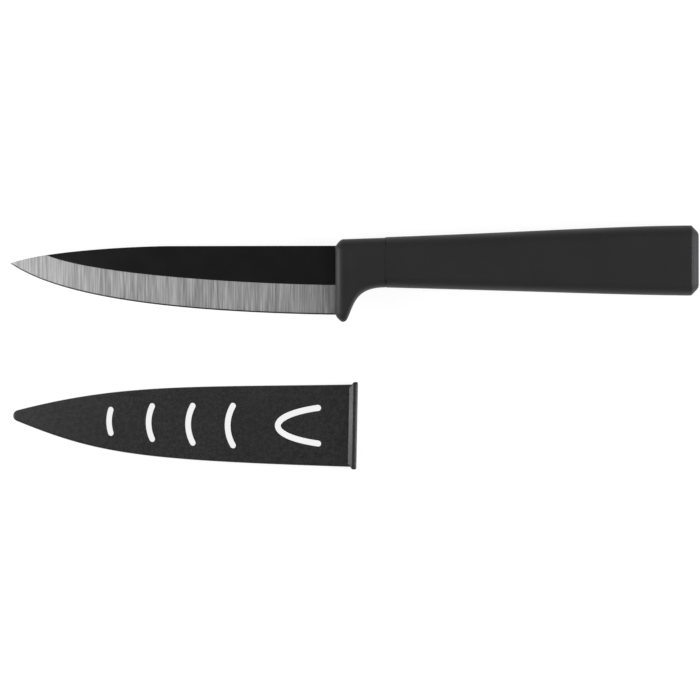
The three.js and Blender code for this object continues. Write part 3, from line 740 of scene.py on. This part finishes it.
def handle_ring(x, inset, place=None):
    """Section of the grip's shape, shrunk all round."""
    share = min(max(((x if place is None else place) - grip_front) / (grip_butt - grip_front), 0), 1)
    bow = bow_at(share)
    half = grip_half - inset
    radius = max(GRIP_EDGE_RADIUS - inset, LEAST_RADIUS)
    top = mix(GRIP_FRONT_TOP, GRIP_BUTT_TOP, share) + bow * GRIP_BOW_TOP - inset
    bottom = mix(GRIP_FRONT_BOTTOM, GRIP_BUTT_BOTTOM, share) + bow * GRIP_BOW_BOTTOM - inset
    return section(x, top, -bottom, half, half, radius)


def make_guard(material):
    seam = grip_front - SNUG
    centre = away((GUARD_SLOPE_LENGTH, guard_tip_y), 90, GUARD_TIP_RADIUS)
    turns = np.linspace(-90, GUARD_HOLLOW_TIP[0] - 90, CORNER_STEPS)
    tip = [away(centre, turn, GUARD_TIP_RADIUS) for turn in turns]
    hollow = bend(
        tip[-1], GUARD_HOLLOW_TIP,
        (seam, GUARD_SEAM_BOTTOM), (180 - GUARD_HOLLOW_SEAM[0], GUARD_HOLLOW_SEAM[1]), HOLLOW_STEPS,
    )
    slope = bend(
        (0, GUARD_FACE_INSET), (-GUARD_FACE[0], GUARD_FACE[1]),
        (GUARD_SLOPE_LENGTH, 0), (180 - GUARD_SLOPE[0], GUARD_SLOPE[1]), 3 * ROUND_STEPS,
    )
    side_slope = bend(
        (0, GUARD_SIDE_INSET), (-GUARD_SIDE_FACE[0], GUARD_SIDE_FACE[1]),
        (GUARD_SIDE_LENGTH, 0), (180 - GUARD_SIDE_SLOPE[0], GUARD_SIDE_SLOPE[1]),
    )
    outline = [(x, guard_tip_y, inset) for x, inset in slope]
    outline += [(x, y, 0) for x, y in [*tip[1:], *hollow[1:]]]
    rings = [guard_ring(x, y, inset, height_at(side_slope, x)) for x, y, inset in outline]
    rings += [handle_ring(x, SPIGOT_INSET) for x in (seam, guard_spigot_end)]
    guard = loft("finger_guard", rings)
    blade_room(guard)
    place_piece(guard, knife_place, [material])
    return guard


def grip_tree(sizes):
    """Rounded section swept along the handle. Its upper and lower halves move apart to give the taper."""
    nodes, given = shape_tree("grip_sweep", sizes)
    height = nodes.add("ShaderNodeSeparateXYZ", {0: nodes.add("GeometryNodeInputPosition")}, "Y")
    along = nodes.add("ShaderNodeSeparateXYZ", {0: nodes.add("GeometryNodeInputPosition")}, "X")
    start = nodes.vector(given["Start"])
    end = nodes.vector(given["End"])
    line = nodes.add("GeometryNodeCurvePrimitiveLine", {"Start": start, "End": end})
    path = nodes.add("GeometryNodeResampleCurve", {"Curve": line, "Count": given["Rings"]})
    core = nodes.math("MULTIPLY", given["Edge Radius"], SWEPT_RADII)
    thickness = nodes.math("MULTIPLY", given["Half Thickness"], 2.0)
    square = nodes.add("GeometryNodeCurvePrimitiveQuadrilateral", {"Width": core, "Height": thickness})
    corners = {"Curve": square, "Radius": given["Edge Radius"], "Count": given["Corner Steps"]}
    profile = nodes.add("GeometryNodeFilletCurve", corners, mode="POLY")
    sweep = {"Curve": path, "Profile Curve": profile, "Fill Caps": True}
    swept = nodes.add("GeometryNodeCurveToMesh", sweep)
    share = nodes.ramp(along, given["Front"], given["Butt"], 0.0, 1.0)
    place = given["Bow Place"]
    power = nodes.math("DIVIDE", place, nodes.math("SUBTRACT", 1.0, place))
    rise = nodes.math("POWER", nodes.math("DIVIDE", share, place), power)
    fall = nodes.math("DIVIDE", nodes.math("SUBTRACT", 1.0, share), nodes.math("SUBTRACT", 1.0, place))
    bow = nodes.math("MULTIPLY", rise, fall)
    half = nodes.math("MULTIPLY", core, 0.5)
    top = nodes.ramp(share, 0.0, 1.0, given["Front Top"], given["Butt Top"])
    bottom = nodes.ramp(share, 0.0, 1.0, given["Front Bottom"], given["Butt Bottom"])
    upper = nodes.math("GREATER_THAN", height, 0.0)
    edge = nodes.ramp(upper, 0.0, 1.0, bottom, top)
    bowed = nodes.math("MULTIPLY", bow, nodes.ramp(upper, 0.0, 1.0, given["Bow Bottom"], given["Bow Top"]))
    shift = nodes.math("SUBTRACT", nodes.math("ADD", edge, bowed), half)
    signed = nodes.math("MULTIPLY", shift, nodes.math("SIGN", height))
    offset = nodes.vector(0.0, signed)
    tapered = nodes.add("GeometryNodeSetPosition", {"Geometry": swept, "Offset": offset})
    close_tree(nodes, tapered, given["Material"])
    return nodes


def grip_sweep(name, start, end, inset, material):
    """The grip's shape, shrunk all round by an inset, from one place along the handle to another."""
    sizes = {
        "Start": start,
        "End": end,
        "Front": float(grip_front),
        "Butt": float(grip_butt),
        "Half Thickness": grip_half - inset,
        "Edge Radius": float(max(GRIP_EDGE_RADIUS - inset, LEAST_RADIUS)),
        "Front Top": GRIP_FRONT_TOP - inset,
        "Front Bottom": GRIP_FRONT_BOTTOM - inset,
        "Butt Top": GRIP_BUTT_TOP - inset,
        "Butt Bottom": GRIP_BUTT_BOTTOM - inset,
        "Bow Top": GRIP_BOW_TOP,
        "Bow Bottom": GRIP_BOW_BOTTOM,
        "Bow Place": GRIP_BOW_PLACE,
        "Rings": GRIP_RINGS,
        "Corner Steps": CORNER_STEPS,
    }
    swept = new_piece(name, [], [])
    run_tree(swept, grip_tree(sizes), sizes, material)
    return swept


def make_grip(material):
    start, end = grip_front + GRIP_LIP_LENGTH, grip_butt - GRIP_BUTT_ROUND
    grip = grip_sweep("handle_grip", start, end, 0, material)
    round_end(grip, -1, soft_lip(GRIP_LIP_LENGTH, GRIP_LIP_DEPTH))
    round_end(grip, 1, quarter_round(GRIP_BUTT_ROUND))
    carve(grip, grip_sweep("bore", grip_front - BORE_PAST, grip_butt + BORE_PAST, GRIP_WALL, material))
    grip.data.materials.clear()
    place_piece(grip, knife_place, [material])
    return grip


def make_cap(material):
    shown = grip_butt + SNUG
    rings = [handle_ring(x, SPIGOT_INSET) for x in (cap_spigot_start, shown)]
    side = bend(
        (shown, CAP_SEAM_INSET), CAP_SEAM,
        (cap_end, CAP_FACE_INSET), (-CAP_FACE[0], CAP_FACE[1]), ROUND_STEPS * 2,
    )
    rings += [handle_ring(x, inset, grip_butt) for x, inset in side]
    cap = loft("butt_plug", rings)
    place_piece(cap, knife_place, [material])
    return cap


# Sheath


def sheath_sides(wall):
    """Spine-side and edge-side lines of the pocket, moved outwards by a wall."""
    radius = SHEATH_END_RADIUS + wall
    spine = bend(
        (0, POCKET_MOUTH + wall), (180 + SPINE_SIDE_MOUTH[0], SPINE_SIDE_MOUTH[1]),
        away(SHEATH_END, 90 + SPINE_SIDE_END[0], radius), SPINE_SIDE_END, OUTLINE_STEPS,
    )
    edge = bend(
        away(SHEATH_END, -90 - EDGE_SIDE_END[0], radius), (-EDGE_SIDE_END[0], EDGE_SIDE_END[1]),
        (0, -POCKET_MOUTH - wall), (180 - EDGE_SIDE_MOUTH[0], EDGE_SIDE_MOUTH[1]), OUTLINE_STEPS,
    )
    return spine, edge


def sheath_outline(wall, past_mouth):
    """Outline of the pocket, moved outwards by a wall and run past the mouth."""
    spine, edge = sheath_sides(wall)
    turns = np.linspace(90 + SPINE_SIDE_END[0], 270 - EDGE_SIDE_END[0], 2 * CORNER_STEPS)
    end = [away(SHEATH_END, turn, SHEATH_END_RADIUS + wall) for turn in turns]
    top, bottom = POCKET_MOUTH + wall, -POCKET_MOUTH - wall
    return [(past_mouth, top), *spine, *end[1:-1], *edge, (past_mouth, bottom)]


def mouth_shift(y):
    """How far the mouth runs forward at a height, because it is a little off square."""
    return y * math.tan(math.radians(MOUTH_LEAN))


def sheath_body():
    """Outside of the sheath with round long edges, cut off at the mouth."""
    rings = []
    for along, inset in quarter_round(SHEATH_ROUND):
        rings.append([(x, y, along - WALL_HALF) for x, y in sheath_outline(EDGE_WALL - inset, RIM_LENGTH)])
    rings += [[(x, y, -z) for x, y, z in ring] for ring in reversed(rings)]
    body = loft("sheath_shell", rings)
    far = 2 * POCKET_MOUTH
    past = [(mouth_shift(-far), -far), (far, -far), (far, far), (mouth_shift(far), far)]
    carve(body, prism("past_mouth", past, -far, far))
    return body


def sheath_rim():
    """Collar round the mouth: a chamfer out of the walls that ends in a round bead."""
    spine, edge = sheath_sides(EDGE_WALL)
    slope = RIM_PROUD / RIM_CHAMFER
    buried = EDGE_WALL / 2
    start = (-RIM_LENGTH - buried / slope, -buried)
    turn = (-RIM_BEAD_START, (RIM_LENGTH - RIM_BEAD_START) * slope)
    leaving = (math.degrees(math.atan(slope)), RIM_BEAD_FALL[1])
    bead = bend(turn, leaving, (0, RIM_BEAD_END), RIM_BEAD_FALL, 2 * ROUND_STEPS)
    face = np.vstack([[start], bead])
    side = np.array([start, *((-x, height) for x, height in RIM_ALONG_SIDES)])
    rings = []
    for x in sorted({*face[:, 0], *side[:, 0]}):
        proud = height_at(side, x)
        half = WALL_HALF + min(height_at(face, x), RIM_PROUD)
        top, bottom = height_at(spine, x) + proud, height_at(edge, x) - proud
        square = section(x, top, bottom, half, half, SHEATH_ROUND)
        rings.append([(px + mouth_shift(py), py, pz) for px, py, pz in square])
    return loft("rim", rings)


def tongue_line():
    """Middle of the slot that frees a spring tongue, as four control points of a cubic curve."""
    handle = TONGUE_REACH * 4 / 3
    spread = TONGUE_SPREAD / 2
    narrow = spread - handle * math.tan(math.radians(TONGUE_SPLAY))
    far = -TONGUE_ROOT - handle
    return [(-TONGUE_ROOT, spread), (far, narrow), (far, -narrow), (-TONGUE_ROOT, -spread)]


def slot_tree(sizes):
    """Cuts a row of bowed vents and the slot round the spring tongue, both with round ends."""
    nodes, given = shape_tree("sheath_slots", sizes, shaped=True)
    shell = given["Geometry"]
    first = nodes.vector(nodes.math("MULTIPLY", given["First Vent"], -1.0))
    pitch = nodes.vector(nodes.math("MULTIPLY", given["Vent Pitch"], -1.0))
    row = nodes.add(
        "GeometryNodeMeshLine", {"Count": given["Vents"], "Start Location": first, "Offset": pitch},
    )
    room = []
    for side in (1.0, -1.0):
        rays = {"Target Geometry": shell, "Ray Direction": (0.0, side, 0.0), "Ray Length": FAR}
        room.append(nodes.add("GeometryNodeRaycast", rays, "Hit Distance"))
    low = nodes.math("SUBTRACT", given["Edge Margin"], room[1])
    clear = nodes.math("SUBTRACT", room[0], given["Spine Margin"])
    high = nodes.math("MINIMUM", clear, given["Vent Top"])
    points = row
    for name, value in (("vent_low", low), ("vent_high", high)):
        stored = {"Geometry": points, "Name": name, "Value": value}
        points = nodes.add("GeometryNodeStoreNamedAttribute", stored, data_type="FLOAT")
    straight = nodes.add("GeometryNodeCurvePrimitiveLine")
    fine = nodes.add("GeometryNodeResampleCurve", {"Curve": straight, "Count": given["Slot Steps"]})
    vents = nodes.add("GeometryNodeInstanceOnPoints", {"Points": points, "Instance": fine})
    vents = nodes.add("GeometryNodeRealizeInstances", {0: vents})
    named = {
        name: nodes.add("GeometryNodeInputNamedAttribute", {"Name": name}, data_type="FLOAT")
        for name in ("vent_low", "vent_high")
    }
    share = nodes.add("GeometryNodeSplineParameter", output="Factor")
    half_width = nodes.math("MULTIPLY", given["Slot Width"], 0.5)
    lowest = nodes.math("ADD", named["vent_low"], half_width)
    highest = nodes.math("SUBTRACT", named["vent_high"], half_width)
    y = nodes.ramp(share, 0.0, 1.0, lowest, highest)
    middle = nodes.math("MULTIPLY", nodes.math("ADD", lowest, highest), 0.5)
    off = nodes.math("SUBTRACT", y, middle)
    bow = given["Bow Radius"]
    squares = nodes.math("SUBTRACT", nodes.math("MULTIPLY", bow, bow), nodes.math("MULTIPLY", off, off))
    sag = nodes.math("SUBTRACT", bow, nodes.math("SQRT", squares))
    here = nodes.add("ShaderNodeSeparateXYZ", {0: nodes.add("GeometryNodeInputPosition")}, "X")
    place = nodes.vector(nodes.math("ADD", here, sag), y)
    vents = nodes.add("GeometryNodeSetPosition", {"Geometry": vents, "Position": place})
    root = nodes.math("MULTIPLY", given["Tongue Root"], -1.0)
    far = nodes.math("SUBTRACT", root, given["Tongue Handle"])
    tongue = nodes.add(
        "GeometryNodeCurvePrimitiveBezierSegment",
        {
            "Resolution": given["Slot Steps"],
            "Start": nodes.vector(root, given["Tongue Spread"]),
            "Start Handle": nodes.vector(far, given["Tongue Narrow"]),
            "End Handle": nodes.vector(far, nodes.math("MULTIPLY", given["Tongue Narrow"], -1.0)),
            "End": nodes.vector(root, nodes.math("MULTIPLY", given["Tongue Spread"], -1.0)),
        },
    )
    tongue = nodes.add("GeometryNodeResampleCurve", {"Curve": tongue, "Count": given["Slot Steps"]})
    lines = nodes.add("GeometryNodeJoinGeometry", {0: [vents, tongue]})
    blade = nodes.add(
        "GeometryNodeCurvePrimitiveQuadrilateral", {"Width": given["Slot Width"], "Height": given["Depth"]},
    )
    swept = nodes.add(
        "GeometryNodeCurveToMesh", {"Curve": lines, "Profile Curve": blade, "Fill Caps": True},
    )
    bit = {"Vertices": given["Slot Steps"], "Radius": half_width, "Depth": given["Depth"]}
    drill = nodes.add("GeometryNodeMeshCylinder", bit)
    ends = nodes.add("GeometryNodeCurveEndpointSelection")
    drilled = nodes.add(
        "GeometryNodeInstanceOnPoints", {"Points": lines, "Selection": ends, "Instance": drill},
    )
    drilled = nodes.add("GeometryNodeRealizeInstances", {0: drilled})
    cutters = {"Mesh 1": shell, "Mesh 2": [swept, drilled], "Self Intersection": True}
    cut = nodes.add("GeometryNodeMeshBoolean", cutters, operation="DIFFERENCE", solver="EXACT")
    close_tree(nodes, cut, given["Material"])
    return nodes


def on_tongue_root(*points):
    return all(abs(point.x + TONGUE_ROOT) < NEAR for point in points)


def make_shell(place, material):
    """The sheath's moulding without its tongues."""
    shell = sheath_body()
    carve(shell, sheath_rim(), "UNION")
    carve(shell, prism("pocket", sheath_outline(0, 2 * RIM_LENGTH), -POCKET_HALF, POCKET_HALF))
    carve(shell, prism("window", cubic(tongue_line(), SLOT_STEPS), -2 * WALL_HALF, 2 * WALL_HALF))
    line = tongue_line()
    sizes = {
        "Vents": VENT_COUNT,
        "First Vent": VENT_FIRST,
        "Vent Pitch": VENT_PITCH,
        "Bow Radius": VENT_BOW_RADIUS,
        "Spine Margin": VENT_SPINE_MARGIN,
        "Edge Margin": VENT_EDGE_MARGIN,
        "Vent Top": VENT_TOP,
        "Slot Width": SLOT_WIDTH,
        "Slot Steps": SLOT_STEPS,
        "Depth": 4.0 * WALL_HALF,
        "Tongue Root": TONGUE_ROOT,
        "Tongue Handle": line[0][0] - line[1][0],
        "Tongue Spread": line[0][1],
        "Tongue Narrow": line[1][1],
    }
    run_tree(shell, slot_tree(sizes), sizes, material)
    soften(shell, lambda a, b: not on_tongue_root(a, b))
    shell.data.materials.clear()
    place_piece(shell, place, [material])
    return shell


def tongue_outline():
    """Outline of a spring tongue: the inner side of its slot, cut off at the root."""
    middle = cubic(tongue_line(), 2 * SLOT_STEPS)
    run = np.gradient(middle, axis=0)
    run /= np.linalg.norm(run, axis=1)[:, None]
    inner = middle + np.stack([-run[:, 1], run[:, 0]], 1) * SLOT_WIDTH / 2
    inner = inner[inner[:, 0] < -TONGUE_ROOT]
    return [(-TONGUE_ROOT, inner[0][1]), *inner, (-TONGUE_ROOT, inner[-1][1])]


def make_tongue(name, side, place, material):
    """Spring tongue with the ridge that presses on the blade. Side is 1 for the front, -1 for the back."""
    low, high = sorted((side * POCKET_HALF, side * WALL_HALF))
    tongue = prism(name, tongue_outline(), low, high)
    soften(tongue, lambda a, b: not on_tongue_root(a, b) and abs(a.z - b.z) < NEAR)
    ridge = (-TONGUE_ROOT - NIB_FROM_ROOT, 0, side * POCKET_HALF)
    carve(tongue, bar("ridge", ridge, Y, NIB_RADIUS, NIB_LENGTH), "UNION")
    place_piece(tongue, place, [material])
    return tongue


def sheath_lies():
    """Where the sheath lies: on its collar and on the far end of its flat face, so slightly tipped."""
    collar = RIM_CHAMFER - RIM_LENGTH
    end = SHEATH_END[0] - SHEATH_END_RADIUS - EDGE_WALL + SHEATH_ROUND
    tip = math.atan2(RIM_PROUD, collar - end)
    height = (WALL_HALF + RIM_PROUD) * math.cos(tip) - collar * math.sin(tip)
    low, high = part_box("sheath_edge_band")
    spot = Vector((heel.x + MOUTH_AHEAD * MM, (low.y + high.y) / 2, height * MM))
    return Matrix.Translation(spot) @ Matrix.Rotation(-tip, 4, "Y") @ Matrix.Scale(MM, 4)


# Floor, light and camera

FLOOR_SIZE = 6.0
FLOOR_DROP = 0.00003
FLOOR_GLOW = 0.88  # white that the eye and reflections see; the rest is lit, and holds the shadow
FLOOR_LIT = 0.24
FLOOR_BOUNCE = 0.8
PICTURE_CENTRE = (-0.058, -0.0271)  # row frame, in metres
PICTURE_WIDTH = 0.2155
PICTURE_HEIGHT = 0.007  # level at which that width is measured
LENS = 300
SENSOR = 36
# Brightness of the tent against height: 0 is level with the floor, 1 straight above
TENT_LEVELS = ((0.0, 1.0), (0.05, 0.85), (0.16, 0.3), (0.5, 0.17), (1.0, 0.2))
TENT_LEFT = 0.1  # how much brighter the tent is towards the tips
TENT_BACK = 0.15  # how much brighter it is towards the spines
SOFTBOX_SIZE = 0.5
OBJECT_MIDDLE = (-0.06, -0.03, 0)  # row frame, as are the lamps' places
BLADE_END = (-0.15, -0.01, 0)


def make_floor():
    half = FLOOR_SIZE / 2
    corners = [(-half, -half), (half, -half), (half, half), (-half, half)]
    mesh = bpy.data.meshes.new("floor")
    mesh.from_pydata([(x, y, -FLOOR_DROP) for x, y in corners], [], [(0, 1, 2, 3)])
    floor = bpy.data.objects.new("floor", mesh)
    bpy.context.scene.collection.objects.link(floor)
    material = bpy.data.materials.new("pale_floor")
    material.use_nodes = True
    material.node_tree.nodes.clear()
    nodes = Nodes(material.node_tree)
    path = nodes.tree.nodes.new("ShaderNodeLightPath").outputs
    mirrored = nodes.math("MAXIMUM", path["Is Glossy Ray"], path["Is Transmission Ray"])
    seen = nodes.math("MAXIMUM", path["Is Camera Ray"], mirrored)
    glow = nodes.add("ShaderNodeEmission", {"Color": (1, 1, 1, 1), "Strength": FLOOR_GLOW})
    lit = nodes.add("ShaderNodeBsdfDiffuse", {"Color": grey(FLOOR_LIT)})
    shown = nodes.add("ShaderNodeAddShader", {0: glow, 1: lit})
    bounce = nodes.add("ShaderNodeBsdfDiffuse", {"Color": grey(FLOOR_BOUNCE)})
    both = nodes.add("ShaderNodeMixShader", {0: seen, 1: bounce, 2: shown})
    nodes.add("ShaderNodeOutputMaterial", {"Surface": both})
    mesh.materials.append(material)


def make_tent():
    """Light tent: bright low down and dim above, a little brighter towards the tips and the spines."""
    world = bpy.data.worlds.new("light_tent")
    bpy.context.scene.world = world
    world.use_nodes = True
    world.node_tree.nodes.clear()
    nodes = Nodes(world.node_tree)
    towards = nodes.add("ShaderNodeTexCoord", output="Generated")
    x, y, z = nodes.tree.nodes.new("ShaderNodeSeparateXYZ").outputs
    nodes.tree.links.new(towards, x.node.inputs[0])
    levels = nodes.tree.nodes.new("ShaderNodeValToRGB")
    nodes.tree.links.new(z, levels.inputs[0])
    stops = levels.color_ramp.elements
    while len(stops) < len(TENT_LEVELS):
        stops.new(0.5)
    for stop, (height, level) in zip(stops, TENT_LEVELS):
        stop.position = height
        stop.color = grey(level)
    left = nodes.math("MULTIPLY", x, -TENT_LEFT)
    back = nodes.math("MULTIPLY", y, TENT_BACK)
    lean = nodes.math("ADD", nodes.math("ADD", left, back), 1.0)
    light = nodes.add("ShaderNodeBackground", {"Color": levels.outputs[0], "Strength": lean})
    nodes.add("ShaderNodeOutputWorld", {"Surface": light})


def make_lamp(name, place, aim, size, power):
    """Large soft lamp."""
    data = bpy.data.lights.new(name, "AREA")
    data.shape = "DISK"
    data.size = size
    data.energy = power
    lamp = bpy.data.objects.new(name, data)
    lamp.location = place
    lamp.rotation_euler = (Vector(aim) - Vector(place)).to_track_quat("-Z", "Y").to_euler()
    bpy.context.scene.collection.objects.link(lamp)


def make_camera():
    data = bpy.data.cameras.new("overhead")
    data.lens = LENS
    data.sensor_width = SENSOR
    camera = bpy.data.objects.new("overhead", data)
    distance = PICTURE_WIDTH * LENS / SENSOR
    camera.location = (*PICTURE_CENTRE, PICTURE_HEIGHT + distance)
    data.clip_end = 4 * distance
    bpy.context.scene.collection.objects.link(camera)
    bpy.context.scene.camera = camera


# Making everything

make_camera()
make_floor()
make_tent()
make_lamp("left_softbox", place=(-1.05, 0, 0.36), aim=OBJECT_MIDDLE, size=SOFTBOX_SIZE, power=6.4)
make_lamp("right_softbox", place=(0.95, 0, 0.3), aim=OBJECT_MIDDLE, size=SOFTBOX_SIZE, power=6.2)
make_lamp("high_softbox", place=(0.9, -0.165, 0.9), aim=OBJECT_MIDDLE, size=SOFTBOX_SIZE, power=5)
make_lamp("tip_softbox", place=(-0.2, -0.025, 0.1), aim=BLADE_END, size=0.07, power=0.029)

guard_black = moulded_black(
    "guard_black", shade=0.021, lift=1.25, rough=0.5, gloss=0.3,
    grain=0.00022, depth=0.000004, speckle=0.25, mottle=0.3,
)
grip_black = moulded_black(
    "grip_black", shade=0.021, lift=1.2, rough=0.5, gloss=0.3,
    grain=0.0002, depth=0.000005, speckle=0.25, mottle=0.3,
)
core_grey = moulded_black(
    "core_grey", shade=0.06, lift=1.2, rough=0.55, gloss=0.3,
    grain=0.0004, depth=0.00001, speckle=0.2, mottle=0.3,
)
sheath_black = moulded_black(
    "sheath_black", shade=0.0082, lift=3.2, rough=0.48, gloss=0.5,
    grain=0.00045, depth=0.00004, speckle=0.09, mottle=0.4,
)

sheath_place = sheath_lies()
blade = make_blade(blade_coat(), ground_steel(), honed_edge())
guard = make_guard(guard_black)
grip = make_grip(grip_black)
cap = make_cap(guard_black)
shell = make_shell(sheath_place, sheath_black)
front_tongue = make_tongue("front_spring_tongue", 1, sheath_place, sheath_black)
back_tongue = make_tongue("back_spring_tongue", -1, sheath_place, sheath_black)

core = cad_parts["handle_core"]
core.data.materials.clear()
core.data.materials.append(core_grey)

for piece, node, slot in (
    (blade, "blade", "coated_steel"),
    (guard, "bolster_guard", "guard_plastic"),
    (grip, "grip_shell", "grip_plastic"),
    (cap, "butt_cap", "guard_plastic"),
):
    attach(piece, "knife")
    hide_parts(node)

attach(shell, "sheath")
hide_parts("sheath_front_wall", "sheath_back_wall", "sheath_edge_band")

for tongue, body in ((front_tongue, "front_tongue"), (back_tongue, "back_tongue")):
    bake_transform(tongue)
    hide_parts(f"sheath_{body}")

bpy.context.scene.view_settings.view_transform = "Standard"
